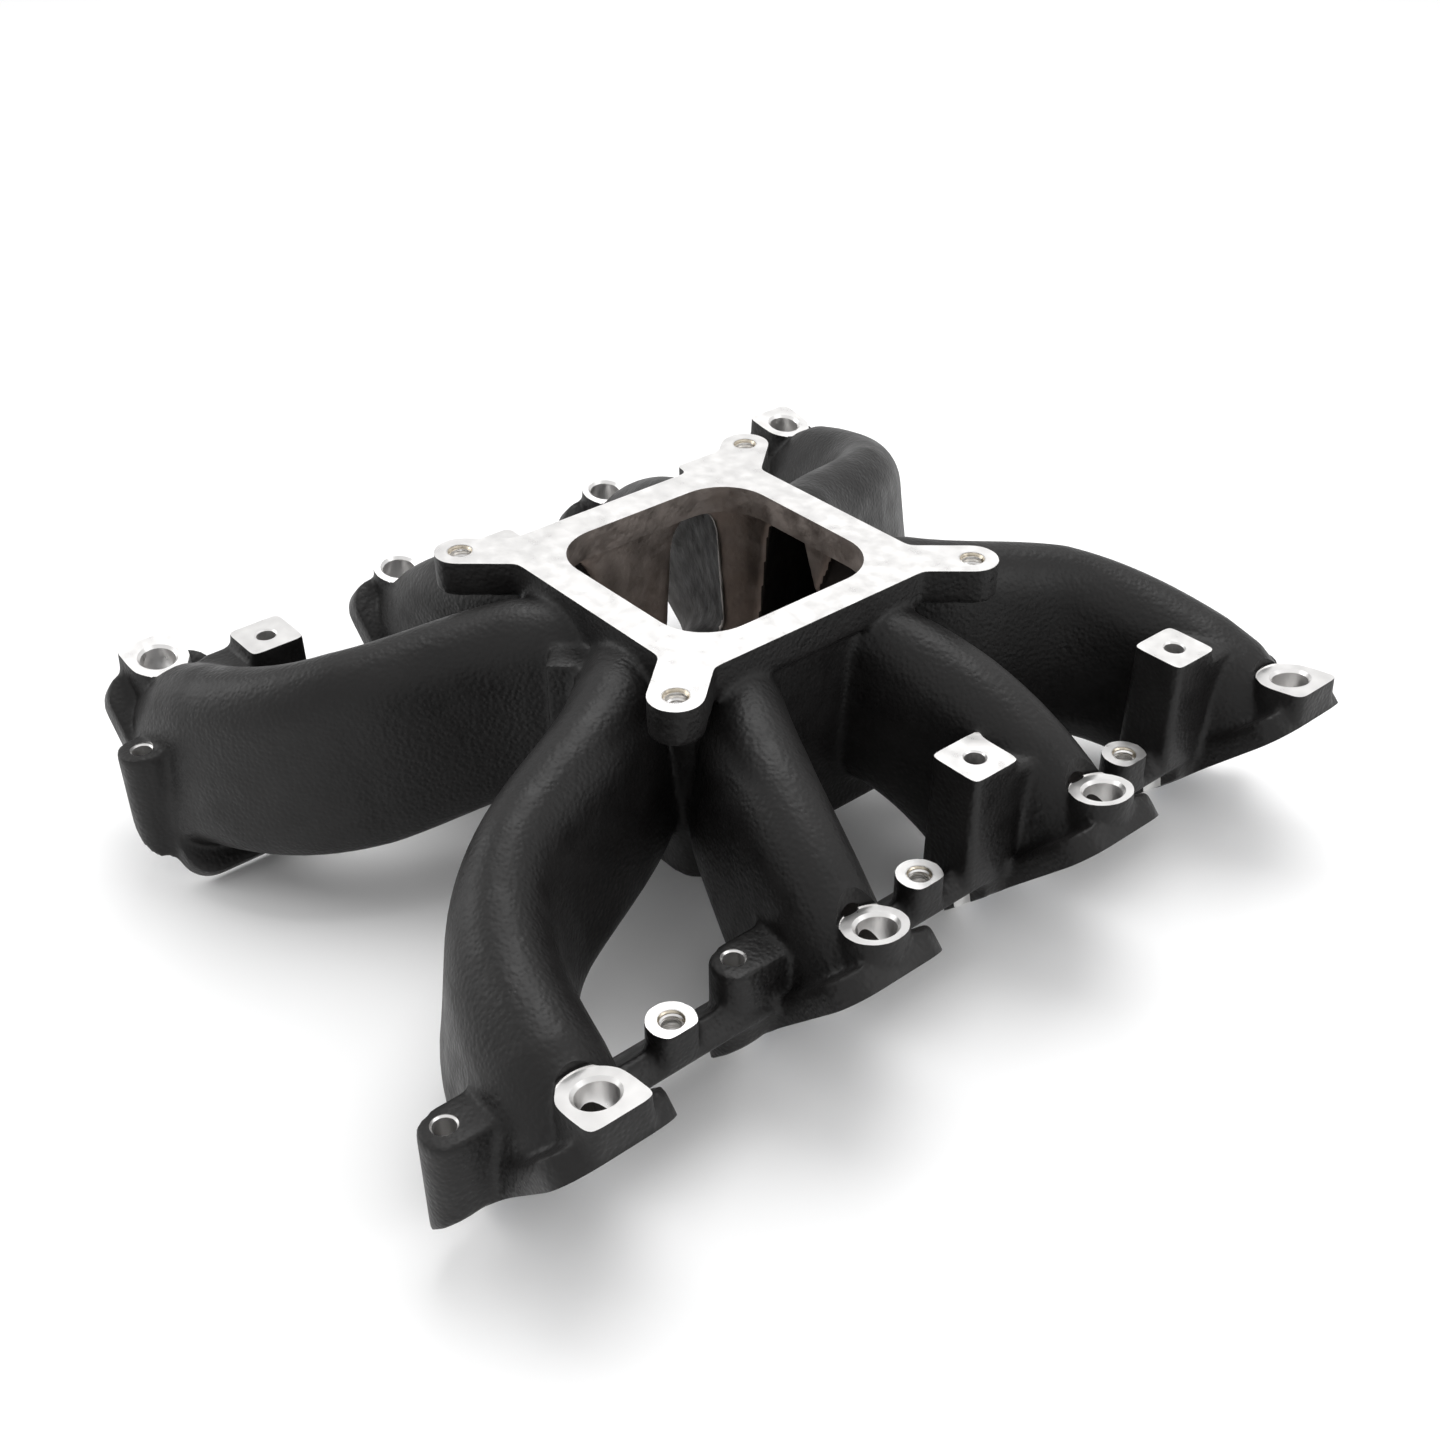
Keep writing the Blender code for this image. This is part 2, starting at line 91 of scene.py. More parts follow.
# Carburettor flange
FLANGE_HALF = 0.0603
OPENING_HALF = 0.0460
OPENING_CORNER = 0.0210
TAB_RADIUS = 0.0097
TAB_LEAN = math.radians(48.7)
TAB_ROOT_RADIUS = 0.0025
ROUND_SHARE = 0.96
LEDGE = ((-0.0678, 0.0360), (-0.0560, 0.0360), (-0.0560, 0.0600), (-0.0655, 0.0640), (-0.0678, 0.0595))
LEDGE_CORNER = 0.0015
STUD_LINER_HOLE = 0.0050
STUD_THREAD = 0.0042

# Metal that machining takes off a raw face, what a raw edge stands proud by, and outline points
MILLED_OFF = 0.003
EDGE_SPARE = 0.0003
CORNER_POINTS = 7
HALF_ROUND_STEPS = 24

# Plenum, outside and inside
PLENUM_INSET = 0.002
PLENUM_END_INSET = 0.003
PLENUM_CORNER = 0.012
PROW_HALF = 0.030
PROW_ROOT = 0.040
PROW_INSET = 0.004
CHAMBER_SIDE_INSET = 0.0065
CHAMBER_END_INSET = 0.008
CHAMBER_CORNER = 0.016
CHAMBER_FLOOR = 0.006
CHAMBER_ROOF = 0.0115
HOLLOW_GRAIN = 0.0015
HOLLOW_ROUNDS = 7
HOLLOW_FACES = 60000

# Runners, outside. A long one is the right bank's first, and a short one its second
PORT_REACH = 0.0100
LONG_RUNNER = {
    "mouth": (0.0255, -0.0660),
    "mouth_turn": math.radians(-50.0),
    "mouth_handle": 0.0500,
    "port_handle": 0.09357,
    "port_turn": math.radians(-4.72),
    "climb": math.radians(13.16),
    "mouth_z": -0.04465,
    "half_heights": (0.0360, 0.0414, 0.0385),
    "half_widths": (0.0240, 0.0175, 0.0200),
    "taper": 0.23,
}
SHORT_RUNNER = {
    "mouth": (0.05334, -0.03253),
    "mouth_turn": math.radians(-22.33),
    "mouth_handle": 0.010,
    "port_handle": 0.06199,
    "port_turn": math.radians(-8.63),
    "climb": math.radians(3.06),
    "mouth_z": -0.04661,
    "half_heights": (0.03950, 0.03669, 0.0368),
    "half_widths": (0.01825, 0.02012, 0.0165),
    "taper": 0.20,
}
MOUTH_OVERLAP = 0.0300
PASSAGE_OVERLAP = 0.0260
PORT_HALF_WIDTH = 0.0132
PORT_HALF_HEIGHT = 0.0390
PORT_TAPER = 0.1
PASSAGE_HALF_WIDTHS = (0.0132, 0.0112, 0.0128)

# Head flange, drawn in the plane of the 45 degree face
LOBE_HALF_HEIGHT = 0.0445
LOBE_HALF_WIDTH = 0.0230
LOBE_CORNER = 0.0120
LOBE_THICKNESS = 0.0095
WEB_RELIEF = 0.0060
WEB_DEPTH = 0.0170
WEB_LOW = -0.0340
WEB_HIGH = 0.0040
SEAL_LAND = 0.0016
GROOVE_WIDTH = 0.0030
GROOVE_DEPTH = 0.0022

# Injector bosses
INJECTOR_X = 0.1515
INJECTOR_DROP = 0.05055
INJECTOR_TILT = math.radians(9.0)
END_PAD_RADIUS = 0.0114
END_PAD_REACH = 0.0131
MIDDLE_PAD_RADIUS = 0.0106
INJECTOR_BORE = 0.0069
INJECTOR_CHAMFER = 0.0080
INJECTOR_TIP_BORE = INJECTOR_BORE * 0.82
END_PAD_CORNER = 0.003
PAD_SPARE = 0.0006
PAD_MILLED_OFF = 0.0025
BOSS_FLARE = 1.15
BOSS_LEAN = 0.006
BOSS_LENGTH = 0.034

# Intake bolt bosses on the right bank: place along the bank, drop of the top, and the side of its runner
BOLT_X = 0.1194
BOLT_HOLE = 0.0038
BOLT_CHAMFER = 0.0006
BOLT_BOSSES = (
    (-0.2040, 0.0674, 1),
    (-0.0923, 0.0674, 1),
    (0.0195, 0.0384, 1),
    (0.1312, 0.0384, 1),
    (0.1892, 0.0674, -1),
)
TALL_PAD_HALF = 0.0112
TALL_PAD_CORNER = 0.0024
POST_FLARE = 1.1
POST_FOOT = 0.010
POST_CUTTER = 0.0150
EAR_X = 0.1206
EAR_HALF = 0.0088
EAR_CORNER = 0.0080
RIB_REACH = 0.024
RIB_FOOT = 0.001
TALL_RIB_DROP = 0.005
TALL_RIB_HALF = 0.0095
RAIL_BOSS_RADIUS = 0.0088
RAIL_BOSS_FLAT = 0.0070
RAIL_BOSS_FOOT = 0.011
RAIL_CUTTER = 0.0105
RAIL_LINER_HOLE = 0.0049
RAIL_HOLE_DEPTH = 0.017
RAIL_THREAD = 0.0041

# Liners
LINER_CHAMFER = 0.0007
FLUSH_GAP = 0.00005


class ManifoldSizes(bpy.types.PropertyGroup):
    """Sizes of the casting that don't touch its mounts."""

    grain: bpy.props.FloatProperty(
        name="Casting grain",
        description="Cell size that the casting's outside is melted together at",
        default=0.0013,
        min=0.0008,
        unit="LENGTH",
    )
    fillet_rounds: bpy.props.IntProperty(
        name="Fillet rounds",
        description="Smoothing passes that round the casting's inner and outer corners",
        default=12,
        min=0,
    )
    wall: bpy.props.FloatProperty(
        name="Wall",
        description="Least thickness of metal round a passage",
        default=0.0040,
        unit="LENGTH",
    )
    outer_faces: bpy.props.IntProperty(
        name="Outer faces",
        description="Most triangles kept on the casting's outside before it is machined",
        default=120000,
    )
    thread_pitch: bpy.props.FloatProperty(
        name="Thread pitch",
        description="Distance between turns of a liner's thread",
        default=0.00125,
        unit="LENGTH",
    )


class ManifoldColours(bpy.types.PropertyGroup):
    """Base colours of the finishes."""

    coating: bpy.props.FloatVectorProperty(
        name="Coating",
        description="Satin black coating",
        subtype="COLOR",
        default=(0.0068, 0.0063, 0.0062),
    )
    machined: bpy.props.FloatVectorProperty(
        name="Machined", description="Bare milled aluminium", subtype="COLOR", default=(0.86, 0.85, 0.84)
    )
    raw: bpy.props.FloatVectorProperty(
        name="Raw casting",
        description="Bare cast aluminium inside",
        subtype="COLOR",
        default=(0.46, 0.41, 0.38),
    )
    thread: bpy.props.FloatVectorProperty(
        name="Thread", description="Plated thread", subtype="COLOR", default=(0.60, 0.54, 0.44)
    )
    seal: bpy.props.FloatVectorProperty(
        name="Seal", description="Moulded rubber", subtype="COLOR", default=(0.02, 0.07, 0.16)
    )


# Finishes


class Finish:
    """A Principled material with patterns on object coordinates."""

    def __init__(self, name, colour, roughness, metallic):
        self.material = bpy.data.materials.get(name) or bpy.data.materials.new(name)
        self.material.use_nodes = True
        self.tree = self.material.node_tree
        self.shader = self.tree.nodes["Principled BSDF"]
        self.shader.inputs["Base Color"].default_value = (*colour, 1.0)
        self.shader.inputs["Roughness"].default_value = roughness
        self.shader.inputs["Metallic"].default_value = metallic
        self.place = self.tree.nodes.new("ShaderNodeTexCoord").outputs["Object"]
        self.bump = None

    def node(self, kind, **values):
        made = self.tree.nodes.new(kind)
        for key, value in values.items():
            made.inputs[key.replace("_", " ")].default_value = value
        return made

    def link(self, source, target):
        self.tree.links.new(source, target)

    def noise(self, scale, detail=3.0, stretch=None):
        made = self.node("ShaderNodeTexNoise", Scale=scale, Detail=detail)
        place = self.place
        if stretch:
            mapping = self.node("ShaderNodeMapping", Scale=stretch)
            self.link(place, mapping.inputs["Vector"])
            place = mapping.outputs["Vector"]
        self.link(place, made.inputs["Vector"])
        return made.outputs["Fac"]

    def cells(self, scale):
        made = self.node("ShaderNodeTexVoronoi", Scale=scale)
        made.feature = "SMOOTH_F1"
        self.link(self.place, made.inputs["Vector"])
        return made.outputs["Distance"]

    def spread(self, source, low, high, start=0.3, end=0.7):
        """The source, from start to end, spread over low to high."""
        made = self.tree.nodes.new("ShaderNodeMapRange")
        for index, value in enumerate((start, end, low, high), 1):
            made.inputs[index].default_value = value
        self.link(source, made.inputs[0])
        return made.outputs[0]

    def tint(self, source, first, second, start=0.3, end=0.7):
        """A colour between two, as the source goes from start to end."""
        ramp = self.tree.nodes.new("ShaderNodeValToRGB")
        ramp.color_ramp.elements[0].position = start
        ramp.color_ramp.elements[0].color = (*first, 1.0)
        ramp.color_ramp.elements[1].position = end
        ramp.color_ramp.elements[1].color = (*second, 1.0)
        self.link(source, ramp.inputs["Fac"])
        self.link(ramp.outputs["Color"], self.shader.inputs["Base Color"])

    def rough(self, source, low, high):
        self.link(self.spread(source, low, high), self.shader.inputs["Roughness"])

    def raise_by(self, source, strength, distance):
        """Adds a layer of bump."""
        bump = self.node("ShaderNodeBump", Strength=strength, Distance=distance)
        self.link(source, bump.inputs["Height"])
        if self.bump:
            self.link(self.bump, bump.inputs["Normal"])
        self.bump = bump.outputs["Normal"]
        self.link(self.bump, self.shader.inputs["Normal"])


def shade(colour, factor):
    return tuple(min(channel * factor, 1.0) for channel in colour)


def coating_finish(colours):
    finish = Finish("coating", colours.coating, 0.5, 0.0)
    finish.shader.inputs["Specular IOR Level"].default_value = 0.30
    finish.tint(finish.noise(45.0, 6.0), shade(colours.coating, 0.75), shade(colours.coating, 1.35))
    finish.rough(finish.noise(90.0, 5.0), 0.40, 0.56)
    finish.raise_by(finish.cells(620.0), 0.55, 0.00045)
    finish.raise_by(finish.noise(1500.0, 2.0), 0.14, 0.00020)
    return finish.material


def machined_finish(colours):
    finish = Finish("machined", colours.machined, 0.3, 1.0)
    finish.tint(finish.noise(70.0, 6.0), shade(colours.machined, 0.93), colours.machined)
    finish.rough(finish.noise(160.0, 5.0), 0.26, 0.42)
    finish.raise_by(finish.noise(150.0, 4.0, (1.0, 14.0, 1.0)), 0.08, 0.00008)
    return finish.material


def raw_finish(colours):
    finish = Finish("raw_casting", colours.raw, 0.5, 1.0)
    finish.tint(finish.noise(55.0, 6.0), shade(colours.raw, 0.70), shade(colours.raw, 1.20))
    finish.rough(finish.noise(120.0, 5.0), 0.38, 0.60)
    finish.raise_by(finish.cells(480.0), 0.40, 0.00040)
    finish.raise_by(finish.noise(1300.0, 3.0), 0.25, 0.00022)
    return finish.material


def painted_passage_shade(colours):
    """Bare metal darkened with painted shade, for the shade deep down the runner passages."""
    finish = Finish("painted_shade_passage", shade(colours.raw, 0.14), 0.6, 0.3)
    finish.tint(finish.noise(55.0, 6.0), shade(colours.raw, 0.08), shade(colours.raw, 0.16))
    finish.rough(finish.noise(120.0, 5.0), 0.55, 0.75)
    finish.raise_by(finish.cells(480.0), 0.40, 0.00040)
    return finish.material


def thread_finish(colours):
    finish = Finish("plated_thread", colours.thread, 0.3, 1.0)
    finish.tint(finish.noise(400.0, 4.0), shade(colours.thread, 0.7), shade(colours.thread, 1.2))
    finish.rough(finish.noise(700.0, 3.0), 0.24, 0.40)
    return finish.material


def seal_finish(colours):
    finish = Finish("seal_rubber", colours.seal, 0.6, 0.0)
    finish.tint(finish.noise(120.0, 4.0), shade(colours.seal, 0.8), shade(colours.seal, 1.2))
    finish.rough(finish.noise(500.0, 3.0), 0.50, 0.68)
    finish.raise_by(finish.noise(1200.0, 3.0), 0.12, 0.00010)
    return finish.material


# Mesh work


def new_object(name, points, faces, material=None):
    """An object from points and faces, with its faces turned outward."""
    mesh = bpy.data.meshes.new(name)
    mesh.from_pydata([tuple(point) for point in points], [], faces)
    shape = bmesh.new()
    shape.from_mesh(mesh)
    bmesh.ops.recalc_face_normals(shape, faces=shape.faces)
    shape.to_mesh(mesh)
    shape.free()
    if material:
        mesh.materials.append(material)
    result = bpy.data.objects.new(name, mesh)
    bpy.context.scene.collection.objects.link(result)
    return result


def loft(name, rings, material=None):
    """A closed solid through rings that have the same number of points."""
    count = len(rings[0])
    points = [point for ring in rings for point in ring]
    faces = [tuple(range(count)), tuple(range(len(points) - 1, len(points) - count - 1, -1))]
    for start in range(0, len(points) - count, count):
        for index in range(count):
            low, low_beside = start + index, start + (index + 1) % count
            faces.append((low, low_beside, low_beside + count, low + count))
    return new_object(name, points, faces, material)


def endless(name, loops, material):
    """A closed band through loops, the last of which joins the first again."""
    count = len(loops[0])
    points = [point for loop in loops for point in loop]
    faces = []
    for row in range(len(loops)):
        here, following = row * count, (row + 1) % len(loops) * count
        for index in range(count):
            beside = (index + 1) % count
            faces.append((here + index, here + beside, following + beside, following + index))
    return new_object(name, points, faces, material)


def prism(outline, low, high, material=None):
    """An upright solid over an outline in plan. low may be a height or a function of x."""
    bottom = low if callable(low) else lambda x: low
    foot = [(x, y, bottom(x)) for x, y in outline]
    top = [(x, y, high) for x, y in outline]
    return loft("prism", [foot, top], material)


def turned(profile, matrix, material=None, steps=48):
    """A solid turned about z through (radius, height) pairs, low to high, then placed by a matrix."""
    rings = [[(x, y, z) for x, y in circle(0.0, 0.0, radius, steps)] for radius, z in profile]
    result = loft("turned", rings, material)
    result.data.transform(matrix)
    return result


def circle(centre_x, centre_y, radius, steps=48):
    angles = [math.tau * step / steps for step in range(steps)]
    return [(centre_x + radius * math.cos(a), centre_y + radius * math.sin(a)) for a in angles]


def rounded(corners, radius, steps=6):
    """An outline through corners given in order, each rounded off to the radius."""
    points = []
    for index, corner in enumerate(corners):
        here = Vector(corner)
        back = (Vector(corners[index - 1]) - here).normalized()
        on = (Vector(corners[(index + 1) % len(corners)]) - here).normalized()
        half = back.angle(on) / 2
        trim = radius / math.tan(half)
        centre = here + (back + on).normalized() * (radius / math.sin(half))
        start = here + back * trim - centre
        end = here + on * trim - centre
        sweep = start.angle_signed(end)
        for step in range(steps + 1):
            arm = start.copy()
            arm.rotate(Matrix.Rotation(-sweep * step / steps, 2))
            points.append(tuple(centre + arm))
    return points


def rounded_box(half_x, half_y, radius, steps=8):
    corners = [(half_x, half_y), (-half_x, half_y), (-half_x, -half_y), (half_x, -half_y)]
    return rounded(corners, radius, steps)


def gathered(name, parts):
    """One object from several, each staying a body of its own."""
    shape = bmesh.new()
    for part in parts:
        shape.from_mesh(part.data)
    mesh = bpy.data.meshes.new(name)
    shape.to_mesh(mesh)
    shape.free()
    for slot in parts[0].data.materials:
        mesh.materials.append(slot)
    for part in parts:
        bpy.data.objects.remove(part)
    result = bpy.data.objects.new(name, mesh)
    bpy.context.scene.collection.objects.link(result)
    return result


def with_twins(parts):
    """The right bank's parts and the same parts turned half a turn for the left bank."""
    twins = []
    for part in parts:
        twin = bpy.data.objects.new(part.name, part.data.copy())
        twin.data.transform(HALF_TURN)
        bpy.context.scene.collection.objects.link(twin)
        twins.append(twin)
    return list(parts) + twins


def settle(target):
    """Applies the target's modifiers."""
    depsgraph = bpy.context.evaluated_depsgraph_get()
    mesh = bpy.data.meshes.new_from_object(target.evaluated_get(depsgraph))
    target.modifiers.clear()
    target.data = mesh


def melt(target, grain, rounds, most_faces, material):
    """Melts overlapping bodies into one skin, rounds its corners and thins its faces."""
    remesh = target.modifiers.new("melt", "REMESH")
    remesh.mode = "VOXEL"
    remesh.voxel_size = grain
    smooth = target.modifiers.new("round", "SMOOTH")
    smooth.factor = 0.5
    smooth.iterations = rounds
    settle(target)
    thin = target.modifiers.new("thin", "DECIMATE")
    thin.ratio = min(1.0, most_faces / (2 * len(target.data.polygons)))
    settle(target)
    target.data.materials.clear()
    target.data.materials.append(material)


def cut(target, cutter):
    """Cuts with a solid whose material the cut faces take, and removes the cutter."""
    before = len(target.data.vertices)
    modifier = target.modifiers.new("cut", "BOOLEAN")
    modifier.operation = "DIFFERENCE"
    modifier.solver = "MANIFOLD"
    modifier.material_mode = "TRANSFER"
    modifier.object = cutter
    settle(target)
    if len(target.data.vertices) == before:
        raise RuntimeError(f"{cutter.name} cut nothing")
    bpy.data.objects.remove(cutter)


def shade_finished(target, angle=32.0):
    target.data.shade_smooth()
    target.data.set_sharp_from_angle(angle=math.radians(angle))


# The head face rises outward at 45 degrees. A place on it has a distance along the bank, a distance
# up the slope from the port centres, and a depth into the flange, square to the face.


def on_face(along, slope, depth):
    centre = PORT_CENTRES[0]
    return (centre.x + (slope - depth) * DIAGONAL, along, centre.z + (slope + depth) * DIAGONAL)


def face_prism(outline, shallow, deep, material=None):
    rings = [[on_face(along, slope, depth) for along, slope in outline] for depth in (shallow, deep)]
    return loft("face", rings, material)


def face_plane(x):
    return x - FACE_FOOT_X


# Runners


def runner_section(half_width, half_height, taper, steps=7):
    """A tall section with round corners, narrower at its roof than at its floor."""
    radius = half_width * 0.96
    outline = rounded_box(half_width, half_height, radius, steps)
    return [(across * (1 - taper * up / half_height), up) for across, up in outline]


def three_way(values, part):
    """Port, middle and mouth values, joined by straight lines."""
    port, middle, mouth = values
    if part < 0.5:
        return port + (middle - port) * part * 2
    return middle + (mouth - middle) * (part - 0.5) * 2


class Sweep:
    """The centre line and sections of one runner, from its port to its mouth."""

    def __init__(self, shape, port_y, mirrored):
        self.shape = shape
        self.mirrored = mirrored
        port = Vector((PORT_CENTRES[0].x, -port_y if mirrored else port_y))
        mouth = Vector(shape["mouth"])
        out = Vector((math.cos(shape["port_turn"]), math.sin(shape["port_turn"])))
        away = Vector((math.cos(shape["mouth_turn"]), math.sin(shape["mouth_turn"])))
        first = port - out * shape["port_handle"]
        second = mouth + away * shape["mouth_handle"]
        self.flat = []
        for step in range(61):
            t = step / 60
            near = port * (1 - t) ** 3 + first * (3 * t * (1 - t) ** 2)
            self.flat.append(near + second * (3 * t * t * (1 - t)) + mouth * t**3)
        self.run = [0.0]
        for before, after in zip(self.flat, self.flat[1:]):
            self.run.append(self.run[-1] + (after - before).length)
        heights = self.heights()
        self.centres = [Vector((flat.x, flat.y, height)) for flat, height in zip(self.flat, heights)]
        self.past_mouth = -away

    def heights(self):
        """Straight up at 45 degrees, then an arc, then a gentle climb to the mouth."""
        climb = self.shape["climb"]
        slope = math.tan(climb)
        port_z = PORT_CENTRES[0].z
        rise = CARB_FACE_Z + self.shape["mouth_z"] - port_z - PORT_REACH
        level = rise - (self.run[-1] - PORT_REACH) * slope
        radius = level / ((math.cos(climb) - DIAGONAL) - (DIAGONAL - math.sin(climb)) * slope)
        radius = max(radius, 0.02)
        arc_end = PORT_REACH + radius * (DIAGONAL - math.sin(climb))
        hub_run = PORT_REACH + radius * DIAGONAL
        hub_z = port_z + PORT_REACH - radius * DIAGONAL
        heights = []
        for run in self.run:
            if run < PORT_REACH:
                heights.append(port_z + run)
            elif run < arc_end:
                heights.append(hub_z + math.sqrt(radius**2 - (hub_run - run) ** 2))
            else:
                heights.append(hub_z + radius * math.cos(climb) + (run - arc_end) * slope)
        return heights

    def ring(self, index, half_width, half_height, taper):
        centre = self.centres[index]
        before = self.centres[max(index - 1, 0)]
        after = self.centres[min(index + 1, len(self.centres) - 1)]
        along = (after - before).normalized()
        if index == 0:
            along = Vector((-DIAGONAL, 0.0, DIAGONAL))
        up = (Vector((0, 0, 1)) - along * along.z).normalized()
        across = along.cross(up)
        section = runner_section(half_width, half_height, taper)
        return [centre + across * a + up * u for a, u in section]

    def placed(self, rings, material):
        solid = loft("runner", rings, material)
        if self.mirrored:
            solid.data.transform(Matrix.Diagonal((1, -1, 1, 1)))
            solid.data.flip_normals()
        return solid

    def outside(self):
        rings = []
        last = len(self.centres) - 1
        for index in range(0, last + 1, 2):
            part = index / last
            width = three_way(self.shape["half_widths"], part)
            height = three_way(self.shape["half_heights"], part)
            rings.append(self.ring(index, width, height, self.shape["taper"]))
        start = [point + Vector((0.004, 0.0, -0.004)) for point in rings[0]]
        inward = self.past_mouth.to_3d() * MOUTH_OVERLAP
        end = [point + inward for point in rings[-1]]
        return self.placed([start, *rings, end], None)

    def passage(self, wall, material):
        rings = []
        last = len(self.centres) - 1
        for index in range(0, last + 1, 2):
            part = index / last
            outer_width = three_way(self.shape["half_widths"], part) - wall
            outer_height = three_way(self.shape["half_heights"], part) - wall
            width = min(outer_width, three_way(PASSAGE_HALF_WIDTHS, part))
            height = min(PORT_HALF_HEIGHT, max(outer_height, PORT_HALF_HEIGHT * (1 - part * 4)))
            taper = PORT_TAPER + (self.shape["taper"] - PORT_TAPER) * min(part * 2, 1)
            rings.append(self.ring(index, width, height, taper))
        start = [point + Vector((0.012, 0.0, -0.012)) for point in rings[0]]
        inward = self.past_mouth.to_3d() * PASSAGE_OVERLAP
        end = [point + inward for point in rings[-1]]
        return self.placed([start, *rings, end], material)


def right_bank_runners():
    port_ys = [centre.y for centre in PORT_CENTRES]
    return [
        Sweep(LONG_RUNNER, port_ys[0], False),
        Sweep(SHORT_RUNNER, port_ys[1], False),
        Sweep(SHORT_RUNNER, port_ys[2], True),
        Sweep(LONG_RUNNER, port_ys[3], True),
    ]


# The casting's parts


def flange_corners(grown=0.0):
    """The square flange with a stud tab at each corner, counter-clockwise."""
    corners = []
    for stud in sorted(STUD_PLACES, key=lambda place: math.atan2(place.y, place.x)):
        side = Vector((math.copysign(1.0, stud.x), math.copysign(1.0, stud.y)))
        lean = Vector((side.x * math.cos(TAB_LEAN), side.y * math.sin(TAB_LEAN)))
        across = Vector((-lean.y, lean.x))
        reach = TAB_RADIUS + grown
        first, last = stud.to_2d() - across * reach, stud.to_2d() + across * reach
        for point, ends_on_x in ((first, side.x * side.y > 0), (last, side.x * side.y < 0)):
            axis = 0 if ends_on_x else 1
            back = (point[axis] - math.copysign(FLANGE_HALF + grown, point[axis])) / lean[axis]
            root = point - lean * back
            tip = point + lean * reach
            ends = [(root, TAB_ROOT_RADIUS), (tip, reach * ROUND_SHARE)]
            corners += ends if point is first else ends[::-1]
    return corners


def flange_plate(low, high, grown, material=None):
    corners = flange_corners(grown)
    outline = []
    for index, (corner, radius) in enumerate(corners):
        near = [corners[index - 1][0], corner, corners[(index + 1) % len(corners)][0]]
        outline += rounded(near, radius)[CORNER_POINTS : 2 * CORNER_POINTS]
    return prism(outline, low, high, material)


def carb_flange_parts():
    low = FLANGE_LOW.z
    high = CARB_FACE_Z + MILLED_OFF
    plate = flange_plate(low, high, EDGE_SPARE)
    ledge = prism(rounded(LEDGE, LEDGE_CORNER), low, high)
    return [plate, ledge]


def plenum_parts():
    """The box, with a prow at each end where the long runners part."""
    half_x = PLENUM_HIGH.x - PLENUM_INSET
    half_y = FLANGE_HALF - PLENUM_END_INSET
    box = prism(rounded_box(half_x, half_y, PLENUM_CORNER), PLENUM_FLOOR, CARB_FACE_Z - PLENUM_INSET)
    tip = PLENUM_HIGH.y - PROW_INSET
    side = tip - PROW_HALF
    prow = [
        (PROW_HALF, -PROW_ROOT),
        (PROW_HALF, side),
        (0.0, tip),
        (-PROW_HALF, side),
        (-PROW_HALF, -PROW_ROOT),
    ]
    roof = FLANGE_LOW.z - PLENUM_INSET
    front = prism(prow, PLENUM_FLOOR, roof)
    back = prism([(-x, -y) for x, y in prow], PLENUM_FLOOR, roof)
    return [box, front, back]


def web_and_lobes():
    """The strip along one head, with a tall lobe round each port."""
    first, last = PORT_CENTRES[0].y, PORT_CENTRES[3].y
    web = [(first, WEB_LOW), (last, WEB_LOW), (last, WEB_HIGH), (first, WEB_HIGH)]
    parts = [face_prism(web, WEB_RELIEF, WEB_DEPTH)]
    for centre in PORT_CENTRES:
        lobe = rounded_box(LOBE_HALF_WIDTH + EDGE_SPARE, LOBE_HALF_HEIGHT + EDGE_SPARE, LOBE_CORNER)
        lobe = [(centre.y + along, slope) for along, slope in lobe]
        parts.append(face_prism(lobe, -MILLED_OFF, LOBE_THICKNESS))
    return parts


def injector_matrix(port_y):
    """Origin at the middle of the injector face, with z square to the face."""
    place = Matrix.Translation((INJECTOR_X, port_y, CARB_FACE_Z - INJECTOR_DROP))
    return place @ Matrix.Rotation(-INJECTOR_TILT, 4, "Y")


def injector_pad(is_end, grown):
    """The pad's outline: round, and squared off on its outer side on an end runner."""
    radius = (END_PAD_RADIUS if is_end else MIDDLE_PAD_RADIUS) + grown
    if not is_end:
        return circle(0.0, 0.0, radius)
    angles = [math.pi / 2 + math.pi * step / HALF_ROUND_STEPS for step in range(HALF_ROUND_STEPS + 1)]
    inner = [(radius * math.cos(angle), radius * math.sin(angle)) for angle in angles]
    reach = END_PAD_REACH + grown
    square = rounded([(0.0, -radius), (reach, -radius), (reach, radius), (0.0, radius)], END_PAD_CORNER)
    return inner + square[CORNER_POINTS : 3 * CORNER_POINTS]


def injector_bosses():
    bosses = []
    for number, centre in enumerate(PORT_CENTRES):
        is_end = number in (0, 3)
        outline = injector_pad(is_end, PAD_SPARE)
        top = [(x, y, PAD_MILLED_OFF) for x, y in outline]
        foot = [(x * BOSS_FLARE - BOSS_LEAN, y * BOSS_FLARE, -BOSS_LENGTH) for x, y in outline]
        boss = loft("boss", [foot, top])
        boss.data.transform(injector_matrix(centre.y))
        bosses.append(boss)
    return bosses


